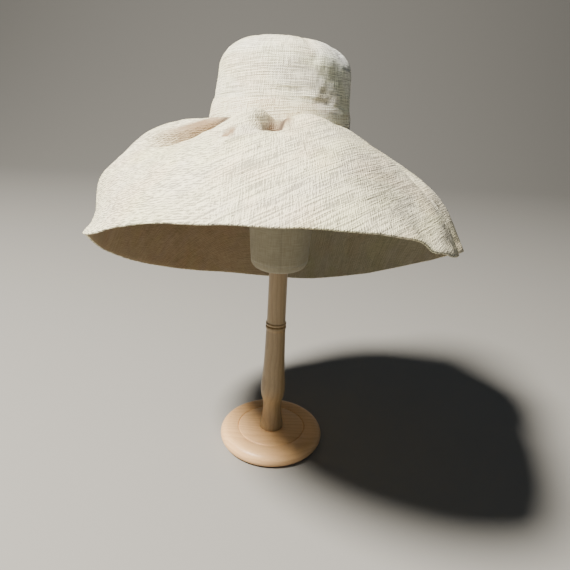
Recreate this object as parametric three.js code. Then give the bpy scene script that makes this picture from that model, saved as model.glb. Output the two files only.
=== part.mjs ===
import * as THREE from 'three';

// Wide-brim straw hat on a turned wooden stand. Millimetres, +Z up, the front faces -Y,
// the origin is the middle of the underside of the stand's base.
// Azimuths are in degrees: 0 is the front, positive values go round to the right (+X).

// Placing of the hat
const HAT_AT = [-7.5, -5, 483];
const HAT_BACK_TILT = 9;
const HAT_SIDE_TILT = 2.8;

// Crown
const STRAW_WALL = 1.6;
const CROWN_FOOT_RADIUS = 88.1;
const CROWN_SHOULDER_RADIUS = 82.5;
const CROWN_SHOULDER_HEIGHT = 56;
const CROWN_HEIGHT = 103;
const CROWN_ROUNDING = 2.7;
const CROWN_FOOT_DROP = 2;
const CROWN_LEAN = 2;

// Band round the foot of the crown
const BAND_WALL = 1.4;
const BAND_GAP = 0.3;
const BAND_HEIGHT = 23;

// Brim
const BRIM_INNER_RADIUS = 90.3;

// Form and stand
const FORM_BOTTOM = 291;
const FORM_EDGE = 13;
const FORM_NECK_RADIUS = 40.5;
const FORM_DOME_RADIUS = 76;
const FORM_DOME_HEIGHT = 507;
const BASE_RADIUS = 80;
const BASE_HEIGHT = 22;
const JOINT_HEIGHT = 200;
const SEAT_GAP = 0.3;

const table = (columns, rows) => rows.map((row) => Object.fromEntries(columns.map((name, i) => [name, row[i]])));

// Rim of the brim round the hat: reach from the hat's axis, drop below the crown's foot,
// the slope of the cloth below level where it leaves the crown and where it ends,
// and how far along the brim each of the two slopes holds.
const RIM = table(['azimuth', 'reach', 'drop', 'start', 'near', 'end', 'far'], [
  [-180, 210, 238, 20, 0.4, 74, 0.4],
  [-160, 200, 234, 22, 0.4, 76, 0.4],
  [-140, 190, 227, 22, 0.4, 80, 0.4],
  [-120, 188, 215, 16, 0.45, 80, 0.4],
  [-100, 196, 198, 10, 0.55, 78, 0.4],
  [-80, 214, 173, 7, 0.6, 76, 0.4],
  [-60, 235.5, 144, 26, 0.55, 80, 0.4],
  [-40, 264, 129, 32, 0.4, 62, 0.4],
  [-20, 293, 105, 6, 0.4, 40, 0.4],
  [0, 312, 93, 0, 0.4, 34, 0.4],
  [20, 312, 93, 0, 0.4, 34, 0.4],
  [40, 274, 115, 10, 0.4, 52, 0.4],
  [60, 246, 127, 31, 0.6, 66, 0.35],
  [80, 250, 131, 25, 0.66, 64, 0.35],
  [100, 270, 146, 24, 0.66, 60, 0.35],
  [120, 274, 179, 24, 0.5, 60, 0.4],
  [140, 256, 215, 18, 0.4, 66, 0.4],
  [160, 230, 236, 18, 0.4, 70, 0.4],
]);

// Folds of the brim: azimuth and half width (degrees) at the crown and at the fold's outer end,
// height along the cloth's normal, where along the brim (0 crown, 1 rim) it starts, peaks and stops,
// how crisp its sides are (1 a soft wave, 2 a flat-topped fold), and how much wider its left side is
// than its right side.
const FOLDS = table(
  ['azimuth', 'outerAzimuth', 'width', 'outerWidth', 'height', 'start', 'peak', 'stop', 'crisp', 'skew'], [
    [-38, -62, 8, 18, -40, 0, 0.15, 0.37, 1.5, 0.1],
    [-18, -14, 2.5, 6, -5, 0.27, 0.4, 0.47, 1.2, 0.7],
    [-14, -17, 10.5, 15, 11, -0.1, 0.06, 0.32, 1.4, -0.2],
    [0, 0, 8.4, 9, -32, 0, 0.14, 0.42, 0.85, 0.6],
    [14, 15, 14, 17, 9, -0.05, 0.1, 0.35, 1, 0],
    [30, 32, 19, 20, 5, -0.05, 0.12, 0.36, 1, 0],
    [62, 66, 18, 22, -10, 0, 0.14, 0.5, 1, 0],
    [72, 75, 9, 10, -12, 0.4, 0.85, 1.8, 1, 0],
    [31, 31, 7, 7, -4, 0.7, 1, 1.4, 1, 0],
    [-70, -58, 18, 22, 6, 0.38, 0.64, 0.95, 1, 0],
    [-58, -54, 26, 26, -7, 0.6, 0.93, 1.02, 1, 0],
  ],
);

// Dents of the crown: azimuth and half width in degrees, height and half height, depth.
const DENTS = table(['azimuth', 'width', 'height', 'tall', 'depth'], [
  [40, 9, 22, 30, 2.5],
  [62, 14, 84, 16, 3],
  [24, 10, 92, 12, 2.5],
]);

// Lower post: height above the floor and radius.
const POST = table(['height', 'radius'], [
  [BASE_HEIGHT, 18.4],
  [26, 18.2],
  [33, 16.8],
  [45, 14.9],
  [60, 14.2],
  [70, 15],
  [80, 17.6],
  [90, 18.7],
  [100, 18.5],
  [110, 17.6],
  [130, 16.2],
  [167, 14.9],
  [190, 14.4],
]);

const radians = (degrees) => degrees * Math.PI / 180;
const clamp = (x) => Math.min(1, Math.max(0, x));
const smooth = (x) => clamp(x) ** 2 * (3 - 2 * clamp(x));
const mix = (a, b, t) => a + (b - a) * t;
const steps = (count) => Array.from({ length: count + 1 }, (_, i) => i / count);
const hump = (x) => (Math.abs(x) < 1 ? 0.5 + 0.5 * Math.cos(Math.PI * x) : 0);
const turn = (degrees) => ((degrees + 540) % 360) - 180;

// Smooth closed curve through one column of a table whose rows go round the hat.
function aroundHat(rows, column) {
  const n = rows.length;
  const at = (i) => rows[((i % n) + n) % n];
  const angle = (i) => at(i).azimuth + 360 * Math.floor(i / n);
  const slope = (i) => (at(i + 1)[column] - at(i - 1)[column]) / (angle(i + 1) - angle(i - 1));
  return (azimuth) => {
    const a = turn(azimuth);
    let i = 0;
    while (i + 1 < n && rows[i + 1].azimuth <= a) i += 1;
    const span = angle(i + 1) - angle(i);
    const t = (a - angle(i)) / span;
    const [t2, t3] = [t * t, t * t * t];
    return (2 * t3 - 3 * t2 + 1) * at(i)[column] + (t3 - 2 * t2 + t) * span * slope(i)
      + (3 * t2 - 2 * t3) * at(i + 1)[column] + (t3 - t2) * span * slope(i + 1);
  };
}

// Closed body from a profile carried round the Z axis and closed on itself. A point on the axis
// is one shared vertex.
function bodyAround(profileAt, azimuths) {
  const loops = azimuths.map((azimuth) => profileAt(azimuth).map(([r, z]) => {
    const a = radians(azimuth);
    return [r * Math.sin(a), -r * Math.cos(a), z];
  }));
  const rows = loops[0].length;
  const points = [];
  const poles = {};
  const index = loops.map((loop) => loop.map((point, j) => {
    const onAxis = Math.hypot(point[0], point[1]) < 1e-9;
    if (onAxis && poles[j] !== undefined) return poles[j];
    points.push(...point);
    if (onAxis) poles[j] = points.length / 3 - 1;
    return points.length / 3 - 1;
  }));
  const faces = [];
  const triangle = (a, b, c) => { if (a !== b && b !== c && c !== a) faces.push(a, b, c); };
  loops.forEach((_, i) => {
    const next = (i + 1) % loops.length;
    for (let j = 0; j < rows; j += 1) {
      const k = (j + 1) % rows;
      triangle(index[i][j], index[next][j], index[next][k]);
      triangle(index[i][j], index[next][k], index[i][k]);
    }
  });
  const geometry = new THREE.BufferGeometry();
  geometry.setAttribute('position', new THREE.Float32BufferAttribute(points, 3));
  geometry.setIndex(faces);
  geometry.computeVertexNormals();
  return geometry;
}

const evenly = (count) => Array.from({ length: count }, (_, i) => -180 + 360 * i / count);

// Azimuths that lie closer together at the pleated front.
const frontHeavy = (count, weight) => evenly(count).map((a) => a - weight * 180 / Math.PI * Math.sin(radians(a)));

// Outer side of a straw wall given from foot to tip, turned into a closed wall by a step along its normal.
function wallAround(outer, thickness) {
  const inner = outer.map((point, i) => {
    const [before, after] = [outer[Math.max(i - 1, 0)], outer[Math.min(i + 1, outer.length - 1)]];
    const [dr, dz] = [after[0] - before[0], after[1] - before[1]];
    const size = Math.hypot(dr, dz);
    return point[0] === 0 ? [0, point[1] - thickness]
      : [point[0] - thickness * dz / size, point[1] + thickness * dr / size];
  });
  return [...outer, ...inner.reverse()];
}

// Crown: straight tapering side, then a rounded shoulder that runs to the top's middle.
function crownRadius(z) {
  return mix(CROWN_FOOT_RADIUS, CROWN_SHOULDER_RADIUS, z / CROWN_SHOULDER_HEIGHT);
}
function lean(z, azimuth) {
  return CROWN_LEAN * z / CROWN_HEIGHT * Math.sin(radians(azimuth));
}
function crownOutline(rows) {
  const side = [-CROWN_FOOT_DROP, 20, 40, CROWN_SHOULDER_HEIGHT].map((z) => [crownRadius(z), z]);
  const shoulder = steps(rows).slice(1).map((t) => {
    const a = t * Math.PI / 2;
    const r = CROWN_SHOULDER_RADIUS * Math.cos(a) ** (2 / CROWN_ROUNDING);
    return [t === 1 ? 0 : r, CROWN_SHOULDER_HEIGHT
      + (CROWN_HEIGHT - CROWN_SHOULDER_HEIGHT) * Math.sin(a) ** (2 / CROWN_ROUNDING)];
  });
  return [...side, ...shoulder];
}
function dented([r, z], azimuth) {
  const depth = DENTS.reduce((sum, d) => sum
    + d.depth * hump(turn(azimuth - d.azimuth) / d.width) * hump((z - d.height) / d.tall), 0);
  return r === 0 ? [r, z] : [r - depth + lean(z, azimuth), z];
}
function crownProfile(azimuth) {
  return wallAround(crownOutline(8).map((point) => dented(point, azimuth)), STRAW_WALL);
}

function bandProfile(azimuth) {
  const lift = BAND_GAP + BAND_WALL;
  const heights = [-CROWN_FOOT_DROP, BAND_HEIGHT / 2, BAND_HEIGHT];
  const outer = heights.map((z) => [crownRadius(z) + lift + lean(z, azimuth), z]);
  const inner = heights.map((z) => [crownRadius(z) + BAND_GAP + lean(z, azimuth), z]).reverse();
  return [...outer, ...inner];
}

// Brim: a bent curve from the crown to the rim at each azimuth, then the folds along its normal.
const rim = Object.fromEntries(['reach', 'drop', 'start', 'near', 'end', 'far'].map((name) => [name, aroundHat(RIM, name)]));

function brimCurve(azimuth, s) {
  const [reach, drop] = [rim.reach(azimuth), rim.drop(azimuth)];
  const [start, end] = [radians(rim.start(azimuth)), radians(rim.end(azimuth))];
  const chord = Math.hypot(reach - BRIM_INNER_RADIUS, drop);
  const [near, far] = [chord * rim.near(azimuth), chord * rim.far(azimuth)];
  const p = [[BRIM_INNER_RADIUS, 0],
    [BRIM_INNER_RADIUS + near * Math.cos(start), -near * Math.sin(start)],
    [reach - far * Math.cos(end), far * Math.sin(end) - drop],
    [reach, -drop]];
  const w = [(1 - s) ** 3, 3 * s * (1 - s) ** 2, 3 * s * s * (1 - s), s ** 3];
  return [0, 1].map((k) => w.reduce((sum, weight, i) => sum + weight * p[i][k], 0));
}

function foldHeight(azimuth, s) {
  return FOLDS.reduce((sum, fold) => {
    const along = clamp((s - fold.start) / (fold.stop - fold.start));
    const centre = mix(fold.azimuth, fold.outerAzimuth, along);
    const side = turn(azimuth - centre);
    const width = mix(fold.width, fold.outerWidth, along) * (1 - fold.skew * Math.sign(side));
    const rise = smooth((s - fold.start) / (fold.peak - fold.start));
    const fall = 1 - smooth((s - fold.peak) / (fold.stop - fold.peak));
    const across = smooth(fold.crisp * (1 - Math.abs(side) / width));
    return sum + fold.height * rise * fall * across;
  }, 0);
}

function brimPoint(azimuth, s, depth = 0) {
  const [r, z] = brimCurve(azimuth, s);
  const [ra, za] = brimCurve(azimuth, s - 0.01);
  const [rb, zb] = brimCurve(azimuth, s + 0.01);
  const size = Math.hypot(rb - ra, zb - za);
  const lift = foldHeight(azimuth, s) - depth;
  const a = radians(azimuth);
  const reach = Math.max(BRIM_INNER_RADIUS, r - lift * (zb - za) / size);
  return new THREE.Vector3(reach * Math.sin(a), -reach * Math.cos(a), z + lift * (rb - ra) / size);
}

const BRIM_ROWS = steps(14).map((t) => 0.55 * t + 0.45 * t * t);

function brimProfile(azimuth) {
  const side = (depth) => BRIM_ROWS.map((s) => {
    const point = brimPoint(azimuth, s, depth);
    return [Math.hypot(point.x, point.y), point.z];
  });
  return [...side(0).reverse(), ...side(STRAW_WALL)];
}

// Form: rounded lower edge, neck, then a bell that swells into a dome.
function formProfile() {
  const foot = steps(5).map((t) => {
    const a = t * Math.PI / 2;
    return [FORM_NECK_RADIUS - FORM_EDGE * (1 - Math.sin(a)), FORM_BOTTOM + FORM_EDGE * (1 - Math.cos(a))];
  });
  const neck = [[43, 345], [46, 372], [56, 410], [70, 452]];
  const dome = steps(8).map((t) => {
    const a = mix(-28, 90, t);
    return [t === 1 ? 0 : FORM_DOME_RADIUS * Math.cos(radians(a)), FORM_DOME_HEIGHT + FORM_DOME_RADIUS * Math.sin(radians(a))];
  });
  return [[0, FORM_BOTTOM], ...foot, ...neck, ...dome];
}

function postUpperProfile() {
  const bottom = JOINT_HEIGHT + SEAT_GAP;
  const top = FORM_BOTTOM - SEAT_GAP;
  return [[0, bottom], [13.8, bottom], [15.2, bottom + 1.2], [15.2, bottom + 3.5], [13.8, bottom + 5],
    [13.6, bottom + 30], [13.2, top], [0, top]];
}

function postLowerProfile() {
  const turned = POST.map((row) => [row.radius, row.height + SEAT_GAP]);
  return [[0, BASE_HEIGHT + SEAT_GAP], ...turned, [14.2, 194], [15.3, 195.5], [15.3, 198.5], [14.2, JOINT_HEIGHT],
    [0, JOINT_HEIGHT]];
}

function baseProfile() {
  const edge = steps(8).map((t) => {
    const a = mix(-90, 90, t);
    return [BASE_RADIUS - 11 + 11 * Math.cos(radians(a)), BASE_HEIGHT / 2 + 11 * Math.sin(radians(a))];
  });
  return [[0, 0], ...edge, [53.5, BASE_HEIGHT], [52, BASE_HEIGHT - 1.5], [50.5, BASE_HEIGHT], [0, BASE_HEIGHT]];
}

const straw = new THREE.MeshStandardMaterial({ color: 0xe6dfcc, roughness: 0.9, metalness: 0 });
const cloth = new THREE.MeshStandardMaterial({ color: 0xe9e4d2, roughness: 0.85, metalness: 0 });
const wood = new THREE.MeshStandardMaterial({ color: 0xc49a67, roughness: 0.55, metalness: 0 });
const paleWood = new THREE.MeshStandardMaterial({ color: 0xdfb98d, roughness: 0.55, metalness: 0 });

function piece(name, profileAt, azimuths, material) {
  const mesh = new THREE.Mesh(bodyAround(profileAt, azimuths), material);
  mesh.name = name;
  return mesh;
}

const hat = new THREE.Group();
hat.position.set(...HAT_AT);
hat.rotation.set(radians(-HAT_BACK_TILT), radians(HAT_SIDE_TILT), 0);
hat.add(piece('crown', crownProfile, evenly(44), straw));
hat.add(piece('crown_band', bandProfile, evenly(44), straw));
hat.add(piece('brim', brimProfile, frontHeavy(104, 0.45), straw));

const object = new THREE.Group();
object.add(hat);
object.add(piece('form', formProfile, evenly(28), cloth));
object.add(piece('post_upper', postUpperProfile, evenly(24), wood));
object.add(piece('post_lower', postLowerProfile, evenly(24), wood));
object.add(piece('base', baseProfile, evenly(36), paleWood));

export default object;
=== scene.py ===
import math

import bpy
import numpy as np
from mathutils import Matrix, Vector


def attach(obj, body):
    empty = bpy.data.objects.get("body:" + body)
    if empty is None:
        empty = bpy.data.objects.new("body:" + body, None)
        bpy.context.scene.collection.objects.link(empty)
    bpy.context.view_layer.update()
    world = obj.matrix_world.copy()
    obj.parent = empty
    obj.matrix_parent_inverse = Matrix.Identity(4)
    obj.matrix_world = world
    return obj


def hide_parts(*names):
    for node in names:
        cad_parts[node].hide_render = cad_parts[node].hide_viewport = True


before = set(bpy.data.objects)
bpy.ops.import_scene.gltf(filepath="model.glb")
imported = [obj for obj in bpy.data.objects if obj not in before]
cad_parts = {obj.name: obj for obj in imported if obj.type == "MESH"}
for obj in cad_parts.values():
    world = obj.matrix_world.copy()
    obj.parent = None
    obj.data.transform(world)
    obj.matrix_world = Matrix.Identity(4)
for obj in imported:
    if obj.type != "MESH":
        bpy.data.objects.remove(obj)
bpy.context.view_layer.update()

# All shapes are worked out in millimetres and written to the meshes in metres.
# Azimuths are in degrees round the hat's or the stand's axis: 0 is the front (-Y), positive to the right
# (+X). A closed loop starts and ends at the back, at -180 and 180 degrees.
MM_PER_M = 1000.0

# The cloth's unevenness is a sum of this many waves, and dies out over the last degrees before the middle
# of the back.
WAVE_COUNT = 14
BACK_FADE = 24.0

# Placing of the hat
HAT_AT = (-7.5, -5.0, 483.0)
HAT_BACK_TILT = 9.0
HAT_SIDE_TILT = 2.8

# Crown. The cloth radius turns degrees round a piece into millimetres of its cloth.
STRAW_WALL = 1.6
CROWN_COLUMNS = 360
CROWN_SIDE_ROWS = 45
CROWN_TOP_ROWS = 56
CROWN_CLOTH_RADIUS = 85.0
CROWN_FOOT_RADIUS = 88.1
CROWN_SHOULDER_RADIUS = 82.5
CROWN_SHOULDER_HEIGHT = 56.0
CROWN_HEIGHT = 103.0
CROWN_ROUNDING = 2.7
CROWN_FOOT_DROP = 2.0
CROWN_LEAN = 2.0

# Band round the foot of the crown
BAND_WALL = 1.4
BAND_GAP = 0.3
BAND_HEIGHT = 23.0
BAND_COLUMNS = 256
BAND_CLOTH_RADIUS = 90.0
BAND_THIN_EDGE = 6.0
BAND_ROUNDING = 0.45
BAND_SIDE_ROWS = 15

# Brim. Its cloth is laid out flat as a fan, with this many degrees of fan to a degree round the hat, and
# the unevenness grows over a short way from the crown.
BRIM_INNER_RADIUS = 90.3
CLOTH_FLARE = 0.78
SETTLED_WAY = 30.0
HEM_WIDTH = 11.0
HEM_THICKNESS = 0.5
HEM_STEP = 1.5
BRIM_COLUMNS = 440
BRIM_ROWS = 100
BRIM_CROWDING = 0.38

# Form and stand
FORM_BOTTOM = 291.0
FORM_EDGE = 13.0
FORM_NECK_RADIUS = 40.5
FORM_DOME_RADIUS = 76.0
FORM_DOME_HEIGHT = 507.0
FORM_DOME_START = -28.0
FORM_COLUMNS = 128
FORM_CLOTH_RADIUS = 42.0
SEAM_AZIMUTH = 2.0
SEAM_ARC_PER_DEGREE = 0.75
SEAM_DEPTH = 0.7
BASE_RADIUS = 80.0
BASE_HEIGHT = 22.0
BASE_COLUMNS = 160
GROOVE_RADIUS = 52.0
GROOVE_HALF_WIDTH = 1.5
GROOVE_DEPTH = 1.5
JOINT_HEIGHT = 200.0
POST_COLUMNS = 96
SEAT_GAP = 0.3

# Rim of the brim round the hat: reach from the hat's axis, drop below the crown's foot,
# the slope of the cloth below level where it leaves the crown and where it ends,
# and how far along the brim each of the two slopes holds.
RIM_COLUMNS = ("azimuth", "reach", "drop", "start", "near", "end", "far")
RIM = (
    (-180, 210, 238, 20, 0.4, 74, 0.4),
    (-160, 200, 234, 22, 0.4, 76, 0.4),
    (-140, 190, 227, 22, 0.4, 80, 0.4),
    (-120, 188, 215, 16, 0.45, 80, 0.4),
    (-100, 196, 198, 10, 0.55, 78, 0.4),
    (-80, 214, 173, 7, 0.6, 76, 0.4),
    (-60, 235.5, 144, 26, 0.55, 80, 0.4),
    (-40, 264, 129, 32, 0.4, 62, 0.4),
    (-20, 293, 105, 6, 0.4, 40, 0.4),
    (0, 312, 93, 0, 0.4, 34, 0.4),
    (20, 312, 93, 0, 0.4, 34, 0.4),
    (40, 274, 115, 10, 0.4, 52, 0.4),
    (60, 246, 127, 31, 0.6, 66, 0.35),
    (80, 250, 131, 25, 0.66, 64, 0.35),
    (100, 270, 146, 24, 0.66, 60, 0.35),
    (120, 274, 179, 24, 0.5, 60, 0.4),
    (140, 256, 215, 18, 0.4, 66, 0.4),
    (160, 230, 236, 18, 0.4, 70, 0.4),
)

# Folds of the brim: azimuth and half width (degrees) at the crown and at the fold's outer end,
# height along the cloth's normal, where along the brim (0 crown, 1 rim) it starts, peaks and stops,
# how crisp its sides are (1 a soft wave, 2 a flat-topped fold), and how much wider its left side is
# than its right side.
FOLD_COLUMNS = ("azimuth", "outer_azimuth", "width", "outer_width", "height",
                "start", "peak", "stop", "crisp", "skew")
FOLDS = (
    (-38, -62, 8, 18, -40, 0, 0.15, 0.37, 1.5, 0.1),
    (-18, -14, 2.5, 6, -5, 0.27, 0.4, 0.47, 1.2, 0.7),
    (-14, -17, 10.5, 15, 11, -0.1, 0.06, 0.32, 1.4, -0.2),
    (0, 0, 8.4, 9, -32, 0, 0.14, 0.42, 0.85, 0.6),
    (14, 15, 14, 17, 9, -0.05, 0.1, 0.35, 1, 0),
    (30, 32, 19, 20, 5, -0.05, 0.12, 0.36, 1, 0),
    (62, 66, 18, 22, -10, 0, 0.14, 0.5, 1, 0),
    (72, 75, 9, 10, -12, 0.4, 0.85, 1.8, 1, 0),
    (31, 31, 7, 7, -4, 0.7, 1, 1.4, 1, 0),
    (-70, -58, 18, 22, 6, 0.38, 0.64, 0.95, 1, 0),
    (-58, -54, 26, 26, -7, 0.6, 0.93, 1.02, 1, 0),
    (29, 29, 15, 15, -8, 0.4, 0.78, 1.02, 1, 0),
)

# Painted shade of the brim where the folds keep it out of the light, laid out like the folds with height as
# strength: the warm half light of the left hollow, the small pleat and the pocket, then the dark slits
# inside them.
HALF_LIGHT = (
    (-52, -59, 17, 14, 1, -0.1, 0.06, 0.37, 2.0, 0),
    (-16.4, -14.1, 2.2, 3.4, 1, 0.27, 0.4, 0.5, 3.0, 0),
    (0, 0, 8, 6, 1, -0.1, 0.1, 0.47, 2.2, 0),
)
SLIT_SHADES = (
    (-37, -48, 9, 7, 0.9, -0.1, 0.02, 0.15, 1, 0),
    (2, 1.6, 3.6, 3, 0.9, -0.1, 0.1, 0.26, 1.3, 0),
)

# Dents of the crown: azimuth and half width in degrees, height and half height, depth.
DENT_COLUMNS = ("azimuth", "width", "height", "tall", "depth")
DENTS = (
    (40, 10, 22, 30, 1.3),
    (62, 16, 84, 16, 2.2),
    (24, 10, 92, 12, 2.5),
)

# Creases of the crown's cloth: azimuth and half width in degrees, height and half height,
# how much higher the crease lies for each degree to the right, and its depth (a ridge if negative).
CREASE_COLUMNS = ("azimuth", "width", "height", "tall", "tilt", "depth")
CREASES = (
    (6, 30, 35, 7, 0.18, 1.5),
    (20, 11, 30, 3, 0.0, -1.1),
    (33, 11, 27, 6, 0.1, 0.8),
    (34, 6, 37, 7, 0.0, 0.9),
    (44, 4.5, 20, 20, 0.0, -0.9),
    (38, 6, 62, 22, 0.0, -0.4),
    (49, 8, 56, 28, 0.0, 0.4),
    (24, 6, 71, 6, 0.0, 1.1),
    (31, 6, 77, 6, 0.0, -0.8),
    (22, 5, 92, 4, 0.0, 0.6),
    (-4, 12, 74, 2.6, 0.15, 0.7),
    (9, 6, 78, 2.4, 0.0, 0.5),
    (-30, 22, 40, 9, -0.1, 0.6),
    (-50, 9, 60, 24, 0.0, 0.5),
)

# Form between its lower edge and its dome: height above the floor and radius.
FORM_NECK = (
    (299, 40.5),
    (345, 43),
    (372, 46),
    (410, 56),
    (452, 70),
)

# Upper post over its bead: height above its lower end and radius.
STEM = (
    (5.4, 13.8),
    (12, 13.7),
    (30, 13.6),
)

# Lower post: height above the floor and radius.
POST = (
    (22, 18.4),
    (26, 18.2),
    (33, 16.8),
    (45, 14.9),
    (60, 14.2),
    (70, 15),
    (80, 17.6),
    (90, 18.7),
    (100, 18.5),
    (110, 17.6),
    (130, 16.2),
    (167, 14.9),
    (190, 14.4),
)


def named(columns, rows):
    return [dict(zip(columns, row)) for row in rows]


def smooth(x):
    x = np.clip(x, 0.0, 1.0)
    return x * x * (3.0 - 2.0 * x)


def hump(x):
    return np.where(np.abs(x) < 1.0, 0.5 + 0.5 * np.cos(np.pi * np.clip(x, -1.0, 1.0)), 0.0)


def turn(degrees):
    return (np.asarray(degrees, float) + 540.0) % 360.0 - 180.0


def eased(t, span, value, slope, next_value, next_slope):
    """Cubic between two knots, t running from 0 at the first to 1 at the next."""
    t2 = t * t
    t3 = t2 * t
    return ((2 * t3 - 3 * t2 + 1) * value + (t3 - 2 * t2 + t) * span * slope
            + (3 * t2 - 2 * t3) * next_value + (t3 - t2) * span * next_slope)


def around_hat(rows, column):
    """Smooth closed curve through one column of a table whose rows go round the hat."""
    angle = np.array([row["azimuth"] for row in rows], float)
    value = np.array([row[column] for row in rows], float)
    angle = np.concatenate([angle[-2:] - 360.0, angle, angle[:3] + 360.0])
    value = np.concatenate([value[-2:], value, value[:3]])
    slope = np.zeros_like(value)
    slope[1:-1] = (value[2:] - value[:-2]) / (angle[2:] - angle[:-2])

    def curve(azimuth):
        a = turn(azimuth)
        i = np.clip(np.searchsorted(angle, a, side="right") - 1, 1, len(angle) - 3)
        span = angle[i + 1] - angle[i]
        t = (a - angle[i]) / span
        return eased(t, span, value[i], slope[i], value[i + 1], slope[i + 1])

    return curve


def through(points, count):
    """A smooth curve through (height, radius) rows, as count + 1 rows of radius and height."""
    heights = np.array([p[0] for p in points], float)
    radii = np.array([p[1] for p in points], float)
    slope = np.gradient(radii, heights)
    z = np.linspace(heights[0], heights[-1], count + 1)
    i = np.clip(np.searchsorted(heights, z, side="right") - 1, 0, len(heights) - 2)
    span = heights[i + 1] - heights[i]
    t = (z - heights[i]) / span
    return np.stack([eased(t, span, radii[i], slope[i], radii[i + 1], slope[i + 1]), z], -1)


def placed(azimuth, radius, height):
    """Points at a radius and a height on the given azimuths."""
    a = np.radians(azimuth)
    x = radius * np.sin(a)
    return np.stack([x, -radius * np.cos(a), height + 0.0 * x], -1)


def arc_along(points, axis=0):
    """Distance run along a row of points, from 0 at the first."""
    step = np.linalg.norm(np.diff(points, axis=axis), axis=-1)
    start = np.zeros_like(step.take([0], axis=axis))
    return np.cumsum(np.concatenate([start, step], axis=axis), axis=axis)


def loop(columns):
    return np.linspace(-180.0, 180.0, columns + 1)[:, None]


def waves(u, v, length, seed):
    """Soft irregular relief of about unit height whose waves are roughly the given length."""
    rng = np.random.default_rng(seed)
    total = np.zeros(np.broadcast(u, v).shape)
    for _ in range(WAVE_COUNT):
        direction = rng.uniform(0.0, 2.0 * np.pi)
        size = 2.0 * np.pi / (length * rng.uniform(0.7, 1.6))
        phase = rng.uniform(0.0, 2.0 * np.pi)
        total = total + np.sin(size * (u * np.cos(direction) + v * np.sin(direction)) + phase)
    return total / math.sqrt(WAVE_COUNT)


def off_back(azimuth):
    """1 round the hat, falling to 0 at the middle of the back, where the cloth's coordinates meet."""
    return smooth((180.0 - np.abs(azimuth)) / BACK_FADE)


def hat_axes():
    back = math.radians(HAT_BACK_TILT)
    side = math.radians(HAT_SIDE_TILT)
    lean_back = np.array([
        [1, 0, 0],
        [0, math.cos(back), math.sin(back)],
        [0, -math.sin(back), math.cos(back)],
    ])
    lean_side = np.array([
        [math.cos(side), 0, math.sin(side)],
        [0, 1, 0],
        [-math.sin(side), 0, math.cos(side)],
    ])
    return lean_back @ lean_side


def on_hat(points):
    return points @ hat_axes().T + np.array(HAT_AT)


# Crown: straight tapering side, then a rounded shoulder that runs to the top's middle.
def crown_radius(z):
    return CROWN_FOOT_RADIUS + (CROWN_SHOULDER_RADIUS - CROWN_FOOT_RADIUS) * z / CROWN_SHOULDER_HEIGHT


def crown_lean(z, azimuth):
    return CROWN_LEAN * z / CROWN_HEIGHT * np.sin(np.radians(azimuth))


def crown_outline():
    side_z = np.linspace(-CROWN_FOOT_DROP, CROWN_SHOULDER_HEIGHT, CROWN_SIDE_ROWS + 1)
    side = np.stack([crown_radius(side_z), side_z], -1)
    a = np.linspace(0.0, 1.0, CROWN_TOP_ROWS + 1)[1:] * np.pi / 2
    power = 2 / CROWN_ROUNDING
    r = CROWN_SHOULDER_RADIUS * np.cos(a) ** power
    z = CROWN_SHOULDER_HEIGHT + (CROWN_HEIGHT - CROWN_SHOULDER_HEIGHT) * np.sin(a) ** power
    r[-1] = 0.0
    return np.concatenate([side, np.stack([r, z], -1)])


def crown_relief(azimuth, r, z):
    """How far the crown's cloth lies inside its plain outline."""
    depth = np.zeros(np.broadcast(azimuth, z).shape)
    for dent in named(DENT_COLUMNS, DENTS):
        across = hump(turn(azimuth - dent["azimuth"]) / dent["width"])
        depth = depth + dent["depth"] * across * hump((z - dent["height"]) / dent["tall"])
    for crease in named(CREASE_COLUMNS, CREASES):
        side = turn(azimuth - crease["azimuth"])
        up = (z - crease["height"] - crease["tilt"] * side) / crease["tall"]
        depth = depth + crease["depth"] * hump(side / crease["width"]) * hump(up)
    # Broad and fine unevenness of the cloth, none at the middle of the top or of the back.
    u = np.radians(azimuth) * CROWN_CLOTH_RADIUS
    edge = smooth(r / 20.0) * off_back(azimuth)
    depth = depth - 0.35 * waves(u, z, length=34.0, seed=3) * edge
    return depth - 0.12 * waves(u, z * 1.6, length=13.0, seed=4) * edge


def crown_shape():
    """Points of the crown's outer and inner side, and the cloth coordinates that both share."""
    azimuth = loop(CROWN_COLUMNS)
    outline = crown_outline()
    before = np.concatenate([outline[:1], outline[:-1]])
    after = np.concatenate([outline[1:], outline[-1:]])
    step = after - before
    step = step / np.linalg.norm(step, axis=1)[:, None]
    inward = np.stack([-step[:, 1], step[:, 0]], -1)
    inward[-1] = (0.0, -1.0)
    r = outline[None, :, 0]
    z = outline[None, :, 1]
    depth = crown_relief(azimuth, r, z)
    depth[:, -1] = 0.0
    sides = []
    for wall in (0.0, STRAW_WALL):
        move = depth + wall
        radius = r + inward[None, :, 0] * move + np.where(r > 0, crown_lean(z, azimuth), 0.0)
        radius[:, -1] = 0.0
        sides.append(placed(azimuth, radius, z + inward[None, :, 1] * move))
    around = np.radians(azimuth) * CROWN_CLOTH_RADIUS + 0.0 * r
    return *sides, np.stack([around, arc_along(outline) + 0.0 * around], -1)


# Brim: a bent curve from the crown to the rim at each azimuth, then the folds along its normal.
RIM_ROWS = named(RIM_COLUMNS, RIM)
rim = {name: around_hat(RIM_ROWS, name) for name in RIM_COLUMNS[1:]}


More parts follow.
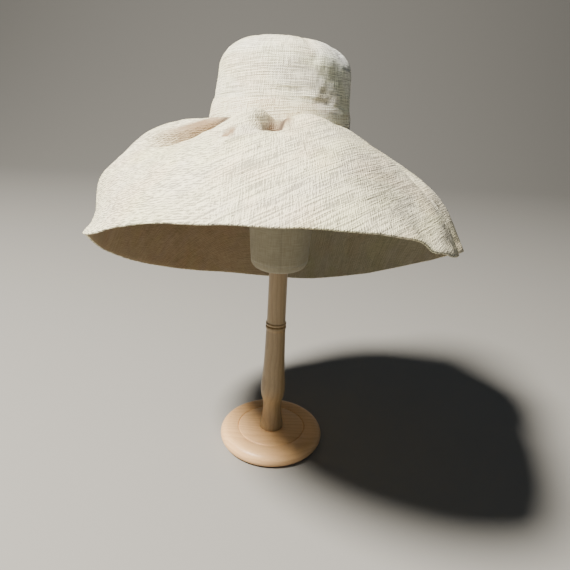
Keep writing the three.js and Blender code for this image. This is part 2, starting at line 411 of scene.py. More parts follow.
def brim_curve(azimuth, s):
    reach = rim["reach"](azimuth)
    drop = rim["drop"](azimuth)
    start = np.radians(rim["start"](azimuth))
    end = np.radians(rim["end"](azimuth))
    chord = np.hypot(reach - BRIM_INNER_RADIUS, drop)
    near = chord * rim["near"](azimuth)
    far = chord * rim["far"](azimuth)
    # A cubic curve whose two handles lie along the slopes at its ends.
    w = ((1 - s) ** 3, 3 * s * (1 - s) ** 2, 3 * s * s * (1 - s), s ** 3)
    r = (w[0] * BRIM_INNER_RADIUS + w[1] * (BRIM_INNER_RADIUS + near * np.cos(start))
         + w[2] * (reach - far * np.cos(end)) + w[3] * reach)
    z = -w[1] * near * np.sin(start) + w[2] * (far * np.sin(end) - drop) - w[3] * drop
    return r, z


def fold_height(azimuth, s, folds):
    total = np.zeros(np.broadcast(azimuth, s).shape)
    for fold in folds:
        along = np.clip((s - fold["start"]) / (fold["stop"] - fold["start"]), 0.0, 1.0)
        centre = fold["azimuth"] + (fold["outer_azimuth"] - fold["azimuth"]) * along
        side = turn(azimuth - centre)
        width = fold["width"] + (fold["outer_width"] - fold["width"]) * along
        width = width * (1.0 - fold["skew"] * np.sign(side))
        rise = smooth((s - fold["start"]) / (fold["peak"] - fold["start"]))
        fall = 1.0 - smooth((s - fold["peak"]) / (fold["stop"] - fold["peak"]))
        across = smooth(fold["crisp"] * (1.0 - np.abs(side) / width))
        total = total + fold["height"] * rise * fall * across
    return total


def brim_point(azimuth, s, lift):
    """Point of the brim lifted along the cloth's normal, never nearer to the axis than its inner edge."""
    near = 0.01
    r, z = brim_curve(azimuth, s)
    ra, za = brim_curve(azimuth, s - near)
    rb, zb = brim_curve(azimuth, s + near)
    size = np.hypot(rb - ra, zb - za)
    reach = np.maximum(BRIM_INNER_RADIUS, r - lift * (zb - za) / size)
    return placed(azimuth, reach, z + lift * (rb - ra) / size)


def brim_shape():
    """Points of the brim's upper side, lower side and rim, its cloth coordinates and its two marks of
    painted shade.
    """
    # The columns crowd together at the front and the rows at the crown, where the folds are.
    even = loop(BRIM_COLUMNS)
    azimuth = even - BRIM_CROWDING * np.degrees(np.sin(np.radians(even)))
    t = np.linspace(0.0, 1.0, BRIM_ROWS + 1)[None, :]
    s = (1.0 - BRIM_CROWDING) * t + BRIM_CROWDING * t * t
    folds, half_light, slit_shade = (fold_height(azimuth, s, named(FOLD_COLUMNS, rows))
                               for rows in (FOLDS, HALF_LIGHT, SLIT_SHADES))
    arc = arc_along(brim_point(azimuth, s, folds), axis=1)
    rho = BRIM_INNER_RADIUS / CLOTH_FLARE + arc
    a = np.radians(azimuth) * CLOTH_FLARE
    cloth = np.stack([rho * np.sin(a), -rho * np.cos(a)], -1)
    u = cloth[..., 0]
    v = cloth[..., 1]
    broad = waves(u, v, length=60.0, seed=11)
    small = waves(u, v, length=17.0, seed=12)
    ripple = smooth(arc / SETTLED_WAY) * off_back(azimuth) * (0.55 * broad + 0.16 * small)
    from_rim = arc[:, -1:] - arc
    hem = HEM_THICKNESS * smooth((HEM_WIDTH - from_rim) / HEM_STEP)
    upper = brim_point(azimuth, s, folds + ripple + hem)
    lower = brim_point(azimuth, s, folds + ripple - STRAW_WALL - 0.5 * hem)
    # The rim is a half round from the upper side to the lower one.
    edge = []
    outward = upper[:, -1] - upper[:, -2]
    outward = outward / np.linalg.norm(outward, axis=1)[:, None]
    thickness = np.linalg.norm(upper[:, -1] - lower[:, -1], axis=1)[:, None]
    for angle in (45.0, 90.0, 135.0):
        share = 0.5 - 0.5 * math.cos(math.radians(angle))
        point = upper[:, -1] + (lower[:, -1] - upper[:, -1]) * share
        edge.append(point + outward * thickness * 0.5 * math.sin(math.radians(angle)))
    # Where the folds' painted shade goes: the half light of the hollows and the dark of the slits
    marks = {"fold": np.clip(half_light, 0.0, 1.0), "slit_shade": np.clip(slit_shade, 0.0, 1.0)}
    return upper, lower, np.stack(edge, 1), cloth, marks


# Band: a strip of the same cloth with a slightly wavy upper edge. Its rows run up the outside, over the
# rounded edge and down the inside; share is how high each lies and lift how far out in the strip.
def band_shape():
    azimuth = loop(BAND_COLUMNS)
    u = np.radians(azimuth) * BAND_CLOTH_RADIUS
    top = BAND_HEIGHT + 0.5 * waves(u, 0.0 * u, length=46.0, seed=21) * off_back(azimuth)
    up = np.linspace(0.0, 1.0, BAND_SIDE_ROWS)
    none = np.zeros(BAND_SIDE_ROWS)
    share = np.concatenate([up, [1.0, 1.0], up[::-1]])[None, :]
    lift = np.concatenate([none + 1.0, [0.8, 0.2], none])[None, :]
    over = np.concatenate([none, [BAND_ROUNDING, BAND_ROUNDING], none])[None, :]
    z = -CROWN_FOOT_DROP + (top + CROWN_FOOT_DROP) * share + over
    swell = 0.25 * off_back(azimuth) * waves(u + 0.0 * z, z, length=30.0, seed=22)
    bulge = swell * lift * np.sin(np.pi * share) ** 0.5
    thin = 1.0 - 0.7 * smooth((z - top + BAND_THIN_EDGE) / BAND_THIN_EDGE)
    radius = crown_radius(z) + BAND_GAP + (BAND_WALL * lift + bulge) * thin + crown_lean(z, azimuth)
    return placed(azimuth, radius, z), np.stack([u + 0.0 * z, z + 0.0 * u], -1)


def ring(profile, count, relief=None):
    """A profile of radius and height carried round the Z axis, with its cloth or grain coordinates."""
    azimuth = loop(count)
    r = profile[None, :, 0] + 0.0 * azimuth
    z = profile[None, :, 1] + 0.0 * azimuth
    if relief is not None:
        r = np.where(r > 0.0, np.maximum(r + relief(azimuth, z), 0.0), 0.0)
    size = np.median(profile[profile[:, 0] > 0, 0])
    around = np.radians(azimuth) * size + 0.0 * r
    return placed(azimuth, r, z), np.stack([around, arc_along(profile) + 0.0 * r], -1)


def form_profile():
    t = np.linspace(0.0, 1.0, 9) * np.pi / 2
    foot_r = FORM_NECK_RADIUS - FORM_EDGE * (1 - np.sin(t))
    foot_z = FORM_BOTTOM + FORM_EDGE * (1 - np.cos(t))
    a = np.linspace(math.radians(FORM_DOME_START), np.pi / 2, 22)
    dome_r = FORM_DOME_RADIUS * np.cos(a)
    dome_z = FORM_DOME_HEIGHT + FORM_DOME_RADIUS * np.sin(a)
    dome_r[-1] = 0.0
    neck = through((*FORM_NECK, (dome_z[0], dome_r[0])), 44)[1:]
    disc = np.array([[0.0, FORM_BOTTOM], [16.0, FORM_BOTTOM]])
    foot = np.stack([foot_r, foot_z], -1)
    dome = np.stack([dome_r, dome_z], -1)[1:]
    return np.concatenate([disc, foot, neck, dome])


def from_seam(azimuth):
    """Distance round the form from its seam, in millimetres."""
    return turn(azimuth - SEAM_AZIMUTH) * SEAM_ARC_PER_DEGREE


def form_relief(azimuth, z):
    """The sunk seam and soft unevenness of the cloth, none on the rounded lower edge."""
    seam = SEAM_DEPTH * np.exp(-(from_seam(azimuth) / 0.9) ** 2)
    u = np.radians(azimuth) * FORM_CLOTH_RADIUS
    soft = 0.3 * waves(u, z * 0.6, length=26.0, seed=31) * off_back(azimuth)
    return (soft - seam - 0.2) * smooth((z - FORM_BOTTOM - 4.0) / 12.0)


def bead(centre_z, half_height, radius, reach):
    """Rounded bead on a stem of the given radius."""
    t = np.linspace(-1.0, 1.0, 13)
    bulge = np.sqrt(np.maximum(0.0, 1 - t * t)) ** 0.8
    return np.stack([radius + reach * bulge, centre_z + half_height * t], -1)


def post_upper_profile():
    bottom = JOINT_HEIGHT + SEAT_GAP
    top = FORM_BOTTOM - SEAT_GAP
    ferrule = np.array([[0.0, bottom], [13.4, bottom], [13.8, bottom + 0.3]])
    collar = bead(bottom + 2.6, half_height=2.1, radius=13.9, reach=1.3)
    stem = through((*((bottom + z, r) for z, r in STEM), (top - 0.6, 13.2)), 24)
    return np.concatenate([ferrule, collar, stem, [[12.8, top], [0.0, top]]])


def post_lower_profile():
    turned = through([(z + SEAT_GAP, r) for z, r in POST], 120)
    collar = bead(JOINT_HEIGHT - 3.0, half_height=2.4, radius=14.25, reach=1.1)
    foot = np.array([[0.0, BASE_HEIGHT + SEAT_GAP], [17.9, BASE_HEIGHT + SEAT_GAP]])
    cap = np.array([[13.9, JOINT_HEIGHT], [0.0, JOINT_HEIGHT]])
    turned[0, 1] += 0.4
    return np.concatenate([foot, turned, collar, cap])


def base_profile():
    a = np.radians(np.linspace(-90.0, 90.0, 25))
    half = BASE_HEIGHT / 2
    edge = np.stack([BASE_RADIUS - half + half * np.cos(a), half + half * np.sin(a)], -1)
    t = np.linspace(1.0, -1.0, 13)
    groove_r = GROOVE_RADIUS + GROOVE_HALF_WIDTH * t
    groove_z = BASE_HEIGHT - GROOVE_DEPTH * (0.5 + 0.5 * np.cos(np.pi * t))
    middle = np.array([[36.0, BASE_HEIGHT], [18.0, BASE_HEIGHT], [0.0, BASE_HEIGHT]])
    return np.concatenate([[[0.0, 0.0], [34.0, 0.0]], edge, np.stack([groove_r, groove_z], -1), middle])


# Meshes. Cloth coordinates are kept as this many millimetres to the unit.
CLOTH_UNIT = 100.0


def skin(name, points, cloth, poles=(), kinds=None, marks=None):
    """Closed body whose rows close on themselves and whose last column repeats the first.

    points and cloth have one more column than the body has, a row among the poles is a single point, kinds
    gives each row of faces its material, and marks are named values kept on the vertices.
    """
    columns = points.shape[0] - 1
    rows = points.shape[1]
    ids = np.arange(columns * rows).reshape(columns, rows)
    for row in poles:
        ids[:, row] = ids[0, row]
    used, compact = np.unique(ids, return_inverse=True)
    ids = compact.reshape(columns, rows)
    vertices = points[:columns].reshape(-1, 3)[used] / MM_PER_M
    faces = []
    corners = []
    slots = []
    cloth = cloth / CLOTH_UNIT
    for j in range(rows):
        k = (j + 1) % rows
        kind = 0 if kinds is None else kinds[j]
        for i in range(columns):
            n = (i + 1) % columns
            quad = (
                (ids[i, j], (i, j)),
                (ids[n, j], (i + 1, j)),
                (ids[n, k], (i + 1, k)),
                (ids[i, k], (i, k)),
            )
            face = []
            for vertex, corner in quad:
                if vertex not in [v for v, _ in face]:
                    face.append((vertex, corner))
            if len(face) < 3:
                continue
            faces.append([int(v) for v, _ in face])
            corners.extend(cloth[c] for _, c in face)
            slots.append(kind)
    mesh = bpy.data.meshes.new(name)
    mesh.from_pydata(vertices.tolist(), [], faces)
    layer = mesh.uv_layers.new(name="cloth")
    layer.data.foreach_set("uv", np.array(corners, np.float32).ravel())
    mesh.polygons.foreach_set("material_index", np.array(slots, np.int32))
    mesh.polygons.foreach_set("use_smooth", np.ones(len(faces), bool))
    for key, values in (marks or {}).items():
        attribute = mesh.attributes.new(key, "FLOAT", "POINT")
        attribute.data.foreach_set("value", values[:columns].reshape(-1)[used].astype(np.float32))
    mesh.update()
    piece = bpy.data.objects.new(name, mesh)
    bpy.context.scene.collection.objects.link(piece)
    return piece


# Materials
class Graph:
    """A node material under construction."""

    def __init__(self, name):
        self.material = bpy.data.materials.new(name)
        self.material.use_nodes = True
        self.tree = self.material.node_tree
        self.shader = self.tree.nodes["Principled BSDF"]

    def node(self, kind, **settings):
        made = self.tree.nodes.new(kind)
        for key, value in settings.items():
            setattr(made, key, value)
        return made

    def put(self, socket, value):
        if isinstance(value, bpy.types.NodeSocket):
            self.tree.links.new(value, socket)
        elif isinstance(value, tuple) and len(value) == 3 and socket.type == "RGBA":
            socket.default_value = (*value, 1.0)
        else:
            socket.default_value = value

    def maths(self, operation, *values):
        made = self.node("ShaderNodeMath", operation=operation)
        for socket, value in zip(made.inputs, values):
            self.put(socket, value)
        return made.outputs[0]

    def plus(self, a, b):
        return self.maths("ADD", a, b)

    def minus(self, a, b):
        return self.maths("SUBTRACT", a, b)

    def times(self, a, b):
        return self.maths("MULTIPLY", a, b)

    def times_plus(self, a, b, c):
        return self.maths("MULTIPLY_ADD", a, b, c)

    def sine(self, value):
        return self.maths("SINE", value)

    def vector(self, x, y, z=0.0):
        made = self.node("ShaderNodeCombineXYZ")
        for socket, value in zip(made.inputs, (x, y, z)):
            self.put(socket, value)
        return made.outputs[0]

    def stretched(self, coordinates, scales, *rest):
        """A vector of coordinates, each times its own scale, with the rest as they are."""
        return self.vector(*(self.times(c, scale) for c, scale in zip(coordinates, scales)), *rest)

    def split(self, vector):
        made = self.node("ShaderNodeSeparateXYZ")
        self.put(made.inputs[0], vector)
        return made.outputs[0], made.outputs[1], made.outputs[2]

    def on_object(self):
        return self.node("ShaderNodeTexCoord").outputs["Object"]

    def on_cloth(self):
        return self.node("ShaderNodeUVMap", uv_map="cloth").outputs["UV"]

    def mark(self, name):
        """A named value kept on the vertices, 0 on a mesh that has none."""
        return self.node("ShaderNodeAttribute", attribute_name=name).outputs["Fac"]

    def mapped(self, place, unit, lean=0.0, swing=0.0):
        """A place in millimetres, leaned about X and then swung about Z, in radians."""
        made = self.node("ShaderNodeMapping")
        self.put(made.inputs["Vector"], place)
        made.inputs["Rotation"].default_value = (lean, 0.0, swing)
        made.inputs["Scale"].default_value = (unit, unit, unit)
        return made.outputs[0]

    def noise(self, vector, scale=1.0, detail=2.0, roughness=0.5):
        made = self.node("ShaderNodeTexNoise")
        self.put(made.inputs["Vector"], vector)
        made.inputs["Scale"].default_value = scale
        made.inputs["Detail"].default_value = detail
        made.inputs["Roughness"].default_value = roughness
        made.inputs["Distortion"].default_value = 0.0
        return made.outputs["Fac"]

    def between(self, value, low, high, to_low=0.0, to_high=1.0):
        """Smooth step from to_low to to_high as the value goes from low to high."""
        made = self.node("ShaderNodeMapRange", interpolation_type="SMOOTHSTEP")
        settings = {"Value": value, "From Min": low, "From Max": high, "To Min": to_low, "To Max": to_high}
        for key, number in settings.items():
            self.put(made.inputs[key], number)
        return made.outputs[0]

    def mix(self, share, a, b, blend="MIX"):
        made = self.node("ShaderNodeMix", data_type="RGBA", blend_type=blend)
        self.put(made.inputs["Factor"], share)
        sockets = [s for s in made.inputs if s.type == "RGBA"]
        self.put(sockets[0], a)
        self.put(sockets[1], b)
        return [s for s in made.outputs if s.type == "RGBA"][0]

    def tinted(self, share, colour, tint):
        """A colour multiplied by a tint to the given share."""
        return self.mix(share, colour, self.mix(1.0, colour, tint, "MULTIPLY"))

    def weave(self, u, v, pitch):
        """Threads of a plain weave going over and under each other, from 0 to 1."""
        warp = self.sine(self.times(u, math.pi / pitch))
        weft = self.sine(self.times(v, math.pi / pitch))
        return self.times_plus(self.times(warp, weft), 0.5, 0.5)

    def bump(self, height, distance, strength=1.0):
        made = self.node("ShaderNodeBump")
        made.inputs["Strength"].default_value = strength
        made.inputs["Distance"].default_value = distance
        self.put(made.inputs["Height"], height)
        return made.outputs[0]

    def finish(self, colour, normal, roughness, **uniform):
        self.put(self.shader.inputs["Base Color"], colour)
        self.put(self.shader.inputs["Normal"], normal)
        self.put(self.shader.inputs["Roughness"], roughness)
        for key, value in uniform.items():
            self.put(self.shader.inputs[key.replace("_", " ")], value)
        return self.material


def darker(colour, share):
    return tuple(c * share for c in colour)


# Straw. The lean turns the hat's front towards a viewer 21.5 degrees above level, so that the threads of a
# drawn cloth run straight for them.
THREAD_PITCH = 1.25
THREAD_LEAN = math.radians(-68.5)
THREAD_SWAY = 3.5
YARN_CONTRAST = 0.035
# Painted shade: the tones that the folds' hollows and slits are coloured with
PAINTED_FOLD_SHADE = (0.27, 0.175, 0.098)
PAINTED_SLIT_SHADE = (0.07, 0.042, 0.028)
SHADE_MARKS = (("fold", PAINTED_FOLD_SHADE), ("slit_shade", PAINTED_SLIT_SHADE))
HUES = ((1.0, 0.95, 0.925), (0.975, 1.0, 0.92), (0.99, 0.985, 1.05))


def threads(g, place, length, pitch, offset):
    """Uneven threads of a length and a pitch in millimetres, running along the first coordinate."""
    u, v, w = place
    shifted = g.times_plus(w, 1.0 / length, offset)
    return g.noise(g.stretched((u, v), (1.0 / length, 1.0 / pitch), shifted), 1.0, 1.5, 0.6)


def flecks(g, u, v):
    """Rare small dark spots of the straw."""
    cell = g.node("ShaderNodeTexVoronoi", feature="F1")
    g.put(cell.inputs["Vector"], g.stretched((u, v), (0.085, 0.15)))
    cell.inputs["Scale"].default_value = 1.0
    chance = g.node("ShaderNodeSeparateColor")
    g.put(chance.inputs[0], cell.outputs["Color"])
    rare = g.between(chance.outputs[0], 0.66, 0.86)
    return g.times(g.between(cell.outputs["Distance"], 0.13, 0.05), rare)


def straw(name, light, shade, gap_shade, streak, cross, dash=None, relief=1.0, drawn=False, right=None):
    """Hand-woven straw: fine weave, uneven threads along two directions, slubs, flecks and broad tones.

    streak, cross and dash are directions in degrees; dash takes the place of cross on the left. The threads
    of a drawn cloth run straight across the hat, those of any other follow its cloth coordinates. right is
    a painted shade of the right side: a tint and the places across the hat, in millimetres, between which it
    comes in and goes out again.
    """
    g = Graph(name)
    place = g.on_object() if drawn else g.on_cloth()
    unit = MM_PER_M if drawn else CLOTH_UNIT
    lean = THREAD_LEAN if drawn else 0.0
    across_hat = g.times(g.split(g.on_object())[0], MM_PER_M)

    def along(degrees):
        return g.mapped(place, unit, lean, math.radians(-degrees))

    # Coordinates along and across the threads of each direction, in millimetres
    flat = along(streak)
    sway = g.times(g.minus(g.noise(flat, 0.014, 1.0), 0.5), THREAD_SWAY)
    u, v, w = g.split(flat)
    v = g.plus(v, sway)
    cross_u, cross_v, _ = g.split(along(cross))
    cross_v = g.plus(cross_v, sway)

    # Light and dark threads, then the regular yarns between them
    mixed = threads(g, (u, v, w), length=42.0, pitch=1.2, offset=0.0)
    fine = threads(g, (cross_u, cross_v, w), length=15.0, pitch=1.0, offset=31.0)
    share = 0.5
    yarns = [(v, 3.2, YARN_CONTRAST), (cross_v, 2.5, YARN_CONTRAST)]
    if dash is not None:
        dash_u, dash_v, _ = g.split(along(dash))
        left = g.between(across_hat, -25.0, -90.0)
        dashes = threads(g, (dash_u, dash_v, w), length=8.0, pitch=1.15, offset=57.0)
        fine = g.plus(g.times(fine, g.minus(1.0, left)), g.times(dashes, left))
        share = g.times_plus(left, 0.3, 0.42)
        yarns[1] = (cross_v, 2.5, g.times_plus(left, -YARN_CONTRAST, YARN_CONTRAST))
        yarns.append((dash_v, 2.6, g.times(left, 0.06)))
    mixed = g.plus(g.times(mixed, g.minus(1.0, share)), g.times(fine, share))
    loose = g.times(g.noise(flat, 0.09, 1.0), 9.0)
    for across, period, contrast in yarns:
        yarn = g.sine(g.times_plus(across, 2.0 * math.pi / period, loose))
        mixed = g.times_plus(yarn, contrast, mixed)
    slub = g.between(threads(g, (u, v, w), length=95.0, pitch=1.9, offset=9.0), 0.60, 0.70)
    sunk = g.between(threads(g, (u, v, w), length=75.0, pitch=1.7, offset=17.0), 0.62, 0.72)
    cross_slub = threads(g, (cross_u, cross_v, w), length=60.0, pitch=1.8, offset=23.0)
    cross_slub = g.between(cross_slub, 0.62, 0.72)
    weave = g.weave(u, v, THREAD_PITCH)
    spot = flecks(g, u, v)

    colour = g.mix(g.between(mixed, 0.42, 0.55), shade, light)
    # Painted shade: a darker warm tone in the hollows between the woven threads
    colour = g.mix(g.times(g.between(weave, 0.3, 0.0), 0.35), colour, gap_shade)
    raised = g.maths("MAXIMUM", slub, g.times(cross_slub, 0.6))
    colour = g.mix(g.times(raised, 0.6), colour, light)
    colour = g.mix(g.times(sunk, 0.55), colour, shade)
    for number, hue in enumerate(HUES):
        patch = g.noise(g.stretched((u, v), (0.016, 0.024), 70.0 + 13.0 * number), 1.0, 2.0)
        colour = g.tinted(g.between(patch, 0.48, 0.66), colour, hue)
    colour = g.mix(g.times(spot, 0.75), colour, darker(shade, 0.42))
    # Painted shade: a cooler, darker tint on the right side of the hat
    if right is not None:
        tint, low, high, leave, gone = right
        reach = g.times(g.between(across_hat, low, high), g.between(across_hat, gone, leave))
        colour = g.tinted(reach, colour, tint)
    # Painted shade in the hollows and slits of the brim's folds
    for mark, tone in SHADE_MARKS:
        colour = g.mix(g.times(g.mark(mark), 0.96), colour, tone)

    # Relief of the threads: the bump's distance is in metres
    height = g.plus(g.times(weave, 0.22), g.times(mixed, 1.5))
    height = g.plus(height, g.times(slub, 0.45))
    height = g.minus(height, g.times(spot, 0.5))
    normal = g.bump(height, 0.0016 * relief)
    roughness = g.between(mixed, 0.35, 0.65, 0.95, 0.80)
    return g.finish(colour, normal, roughness, Sheen_Weight=0.1, Sheen_Roughness=0.5, Specular_IOR_Level=0.3)


COTTON_PITCH = 0.9


def cloth(name, light, shade):
    """Fine smooth cotton stretched over the form."""
    g = Graph(name)
    flat = g.mapped(g.on_cloth(), CLOTH_UNIT)
    u, v, _ = g.split(flat)
    weave = g.weave(u, v, COTTON_PITCH)
    thread = g.noise(g.stretched((u, v), (0.8, 0.05)), 1.0, 3.0, 0.6)
    cross = g.noise(g.stretched((u, v), (0.05, 0.8), 8.0), 1.0, 3.0, 0.6)
    both = g.plus(thread, cross)
    soil = g.between(g.noise(flat, 0.03, 3.0, 0.6), 0.35, 0.75)
    colour = g.mix(g.between(both, 0.8, 1.2), shade, light)
    colour = g.mix(g.times(soil, 0.3), colour, shade)
    colour = g.mix(g.times(g.mark("seam"), 0.55), colour, darker(shade, 0.55))
    normal = g.bump(g.plus(weave, g.times(both, 0.7)), 0.0003, 0.8)
    return g.finish(colour, normal, g.between(thread, 0.3, 0.7, 0.9, 0.75), Sheen_Weight=0.15)


RING_WIDTH = 6.5
PITH_AT = (63.0, 24.0)


def wood(name, light, dark, grain, gloss):
    """Turned beech: growth rings cut by the turning, fine pores and short flecks.

    grain is the direction of the trunk's axis in the piece, and the trunk's middle lies outside the piece.
    """
    g = Graph(name)
    place = g.mapped(g.on_object(), MM_PER_M)
    x, y, z = g.split(place)
    along, a, b = (x, y, z) if grain == "x" else (z, x, y)
    a = g.plus(a, PITH_AT[0])
    b = g.plus(b, PITH_AT[1])

    def streaks(lengthways, sideways, detail, roughness=0.5):
        return g.noise(g.stretched((along, a, b), (lengthways, sideways, sideways)), 1.0, detail, roughness)

    bend = g.times(g.minus(streaks(0.008, 0.02, 2.0), 0.5), 26.0)
    out = g.plus(g.maths("SQRT", g.plus(g.times(a, a), g.times(b, b))), bend)
    late = g.between(g.maths("FRACT", g.times(out, 1 / RING_WIDTH)), 0.35, 0.95)
    fibre = streaks(0.05, 1.2, 3.0, 0.65)
    pore = g.between(streaks(0.16, 2.2, 2.0), 0.62, 0.72)
    broad = g.noise(place, 0.012, 2.0)
    colour = g.mix(g.times(late, 0.5), light, dark)
    colour = g.mix(g.times(g.between(fibre, 0.35, 0.7), 0.4), colour, dark)
    colour = g.mix(g.times(g.between(broad, 0.3, 0.7), 0.25), colour, darker(dark, 0.8))
    colour = g.mix(g.times(pore, 0.5), colour, darker(dark, 0.45))
    height = g.minus(g.times(fibre, 0.6), g.times(pore, 0.8))
    roughness = g.between(fibre, 0.3, 0.7, gloss - 0.06, gloss + 0.08)
    return g.finish(colour, g.bump(height, 0.00025, 0.6), roughness, Coat_Weight=0.25, Coat_Roughness=0.3)


STRAW_LIGHT = (0.96, 0.895, 0.635)
STRAW_SHADE = (0.39, 0.365, 0.275)
STRAW_GAP_SHADE = (0.60, 0.43, 0.27)
CROWN_LIGHT = (1.0, 0.965, 0.75)
CROWN_SHADE = (0.46, 0.44, 0.345)
BAND_LIGHT = (1.0, 0.95, 0.72)
BAND_SHADE = (0.56, 0.48, 0.34)
# The brim's underside is the same straw coloured darker and warmer: painted shade, with a warm tone for the
# light coming through the straw
PAINTED_SHADE_UNDER_LIGHT = (0.42, 0.315, 0.19)
PAINTED_SHADE_UNDER_DARK = (0.29, 0.21, 0.12)
UNDER_GAP_SHADE = (0.34, 0.23, 0.12)
# The form's pale cotton is coloured dark here: painted shade of the brim that hangs over it
PAINTED_SHADE_COTTON_LIGHT = (0.38, 0.345, 0.24)
PAINTED_SHADE_COTTON_DARK = (0.295, 0.262, 0.172)
POST_LIGHT = (0.42, 0.30, 0.155)
POST_DARK = (0.28, 0.18, 0.08)
BASE_LIGHT = (0.98, 0.62, 0.30)
BASE_DARK = (0.76, 0.43, 0.19)

# Painted shade of the right side, cooler and darker tints: colour, then where across the hat each starts, is
# full, begins to leave and is gone, in millimetres.
UNDER_RIGHT_SHADE = ((0.72, 0.88, 1.0), -110.0, 60.0, 800.0, 900.0)
CROWN_RIGHT_SHADE = ((0.90, 0.955, 1.12), 15.0, 60.0, 800.0, 900.0)
BRIM_RIGHT_SHADE = ((0.84, 0.845, 0.845), 0.0, 70.0, 110.0, 170.0)

brim_straw = straw("straw_brim", STRAW_LIGHT, STRAW_SHADE, STRAW_GAP_SHADE, streak=30.0, cross=93.0, dash=3.0,
                   drawn=True, right=BRIM_RIGHT_SHADE)
under_straw_painted_shade = straw("straw_underside_painted_shade", PAINTED_SHADE_UNDER_LIGHT, PAINTED_SHADE_UNDER_DARK, UNDER_GAP_SHADE, streak=46.0, cross=92.0,
                    relief=0.5, right=UNDER_RIGHT_SHADE)
crown_straw = straw("straw_crown", CROWN_LIGHT, CROWN_SHADE, STRAW_GAP_SHADE, streak=4.0, cross=91.0,
                    right=CROWN_RIGHT_SHADE)
band_straw = straw("straw_band", BAND_LIGHT, BAND_SHADE, STRAW_GAP_SHADE, streak=8.0, cross=86.0,
                   right=CROWN_RIGHT_SHADE)
form_cloth = cloth("form_cloth", PAINTED_SHADE_COTTON_LIGHT, PAINTED_SHADE_COTTON_DARK)
post_wood = wood("post_wood", POST_LIGHT, POST_DARK, grain="z", gloss=0.42)
base_wood = wood("base_wood", BASE_LIGHT, BASE_DARK, grain="x", gloss=0.45)


def settle(piece, node, slot, *materials):
    for material in materials:
        piece.data.materials.append(material)
    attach(piece, "root")
    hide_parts(node)


# Crown
outer, inner, crown_cloth = crown_shape()
rows_up = outer.shape[1]
crown_points = np.concatenate([on_hat(outer), on_hat(inner)[:, ::-1]], axis=1)
crown_uv = np.concatenate([crown_cloth, crown_cloth[:, ::-1]], axis=1)
crown = skin("hat_crown", crown_points, crown_uv, poles=(rows_up - 1, rows_up))
settle(crown, "crown", "straw", crown_straw)

# Band
band_points, band_cloth = band_shape()
band = skin("hat_crown_band", on_hat(band_points), band_cloth)
settle(band, "crown_band", "straw", band_straw)

# Brim
upper, lower, edge, brim_cloth, shades = brim_shape()
brim_points = np.concatenate([on_hat(upper)[:, ::-1], on_hat(lower), on_hat(edge)[:, ::-1]], axis=1)
rim_cloth = np.repeat(brim_cloth[:, -1:], edge.shape[1], axis=1)
brim_uv = np.concatenate([brim_cloth[:, ::-1], brim_cloth, rim_cloth], axis=1)
brim_painted_shades = {
    key: np.concatenate([values[:, ::-1], 0.0 * values, 0.0 * edge[..., 0]], axis=1)
    for key, values in shades.items()
}
rows_side = upper.shape[1]
brim_kinds = [0] * (rows_side - 1) + [1] * rows_side + [0] * (edge.shape[1] + 1)
brim = skin("hat_brim", brim_points, brim_uv, kinds=brim_kinds, marks=brim_painted_shades)
settle(brim, "brim", "straw", brim_straw, under_straw_painted_shade)

# Form
form_points, form_uv = ring(form_profile(), FORM_COLUMNS, form_relief)
form_poles = (0, form_points.shape[1] - 1)
seam_mark = np.exp(-(from_seam(loop(FORM_COLUMNS)) / 0.7) ** 2) + 0.0 * form_points[..., 0]
form = skin("stand_form", form_points, form_uv, poles=form_poles, marks={"seam": seam_mark})
settle(form, "form", "form_cloth", form_cloth)

# Posts and base
for name, node, slot, profile, count, material in (
    ("stand_post_upper", "post_upper", "post_wood", post_upper_profile(), POST_COLUMNS, post_wood),
    ("stand_post_lower", "post_lower", "post_wood", post_lower_profile(), POST_COLUMNS, post_wood),
    ("stand_base", "base", "base_wood", base_profile(), BASE_COLUMNS, base_wood),
):
    points, grain = ring(profile, count)
    piece = skin(name, points, grain, poles=(0, points.shape[1] - 1))
    settle(piece, node, slot, material)

# Floor: a pale sheet, in metres, that sweeps up behind the object
FLOOR_WIDTH = 8.0
FLOOR_FRONT = -3.5
SWEEP_START = 2.2
SWEEP_RADIUS = 2.0
SWEEP_STEPS = 24
WALL_HEIGHT = 6.0
FLOOR_TONE = (0.27, 0.263, 0.25)
sweep = [(FLOOR_FRONT, 0.0), (SWEEP_START, 0.0)]
for step in range(1, SWEEP_STEPS + 1):
    angle = math.radians(90.0 * step / SWEEP_STEPS)
    sweep.append((SWEEP_START + SWEEP_RADIUS * math.sin(angle), SWEEP_RADIUS * (1 - math.cos(angle))))
sweep.append((SWEEP_START + SWEEP_RADIUS, WALL_HEIGHT))
floor_mesh = bpy.data.meshes.new("floor")
floor_sides = (-FLOOR_WIDTH / 2, FLOOR_WIDTH / 2)
floor_vertices = [(x, y, z) for y, z in sweep for x in floor_sides]
floor_faces = [(2 * i, 2 * i + 1, 2 * i + 3, 2 * i + 2) for i in range(len(sweep) - 1)]
floor_mesh.from_pydata(floor_vertices, [], floor_faces)
floor_mesh.polygons.foreach_set("use_smooth", np.ones(len(floor_faces), bool))
floor = bpy.data.objects.new("floor", floor_mesh)
bpy.context.scene.collection.objects.link(floor)
pale = Graph("floor")
grit = pale.bump(pale.noise(pale.on_object(), 60.0), 0.0002, 0.1)
floor_mesh.materials.append(pale.finish(FLOOR_TONE, grit, 0.8))


# Lights and camera
def area_light(name, place, target, size, power, colour):
    data = bpy.data.lights.new(name, "AREA")
    data.shape = "DISK"
    data.size = size
    data.energy = power
    data.color = colour
    light = bpy.data.objects.new(name, data)
    light.location = place
    light.rotation_euler = (Vector(target) - Vector(place)).to_track_quat("-Z", "Y").to_euler()
    bpy.context.scene.collection.objects.link(light)


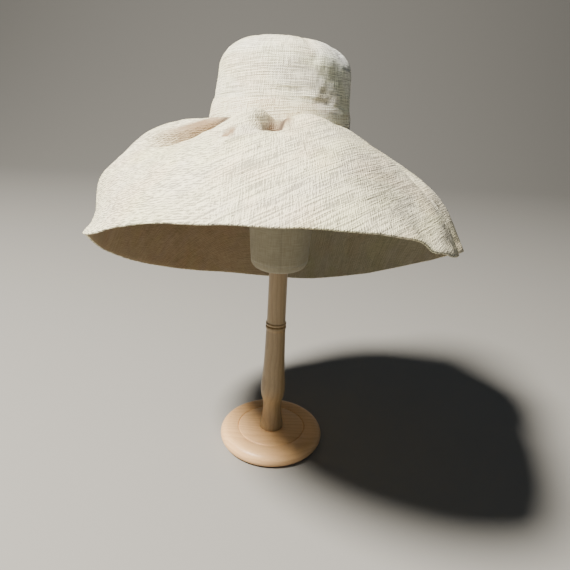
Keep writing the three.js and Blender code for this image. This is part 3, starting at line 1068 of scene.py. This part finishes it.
HAT_MIDDLE = (0.0, -0.05, 0.42)
SKY_TONE = (0.68, 0.82, 1.0, 1.0)
SKY_STRENGTH = 0.06
area_light("key", (-1.38, -0.91, 2.66), HAT_MIDDLE, size=0.6, power=360.0, colour=(1.0, 0.95, 0.85))
area_light("fill", (0.3, -2.6, 1.2), HAT_MIDDLE, size=2.4, power=4.5, colour=(0.80, 0.90, 1.0))
world = bpy.data.worlds.new("studio")
world.use_nodes = True
sky = world.node_tree.nodes["Background"].inputs
sky["Color"].default_value = SKY_TONE
sky["Strength"].default_value = SKY_STRENGTH
bpy.context.scene.world = world

# The lens share is the focal length over the picture's width.
CAMERA_PLACE = (0.0, -0.7228, 0.5481)
CAMERA_PITCH = math.radians(21.497)
CAMERA_YAW = math.radians(0.804)
CAMERA_ROLL = math.radians(3.069)
LENS_SHARE = 540.0 / 570.0
SENSOR_WIDTH = 36.0
ahead = Vector((
    math.sin(CAMERA_YAW) * math.cos(CAMERA_PITCH),
    math.cos(CAMERA_YAW) * math.cos(CAMERA_PITCH),
    -math.sin(CAMERA_PITCH),
))
right = Vector((math.cos(CAMERA_YAW), -math.sin(CAMERA_YAW), 0.0))
above = right.cross(ahead)
rolled_right = right * math.cos(CAMERA_ROLL) + above * math.sin(CAMERA_ROLL)
rolled_above = above * math.cos(CAMERA_ROLL) - right * math.sin(CAMERA_ROLL)
camera_data = bpy.data.cameras.new("camera")
camera_data.sensor_fit = "HORIZONTAL"
camera_data.sensor_width = SENSOR_WIDTH
camera_data.lens = SENSOR_WIDTH * LENS_SHARE
camera_data.clip_start = 0.01
camera_data.clip_end = 50.0
camera = bpy.data.objects.new("camera", camera_data)
camera.matrix_world = Matrix((
    (rolled_right.x, rolled_above.x, -ahead.x, CAMERA_PLACE[0]),
    (rolled_right.y, rolled_above.y, -ahead.y, CAMERA_PLACE[1]),
    (rolled_right.z, rolled_above.z, -ahead.z, CAMERA_PLACE[2]),
    (0.0, 0.0, 0.0, 1.0),
))
bpy.context.scene.collection.objects.link(camera)
bpy.context.scene.camera = camera
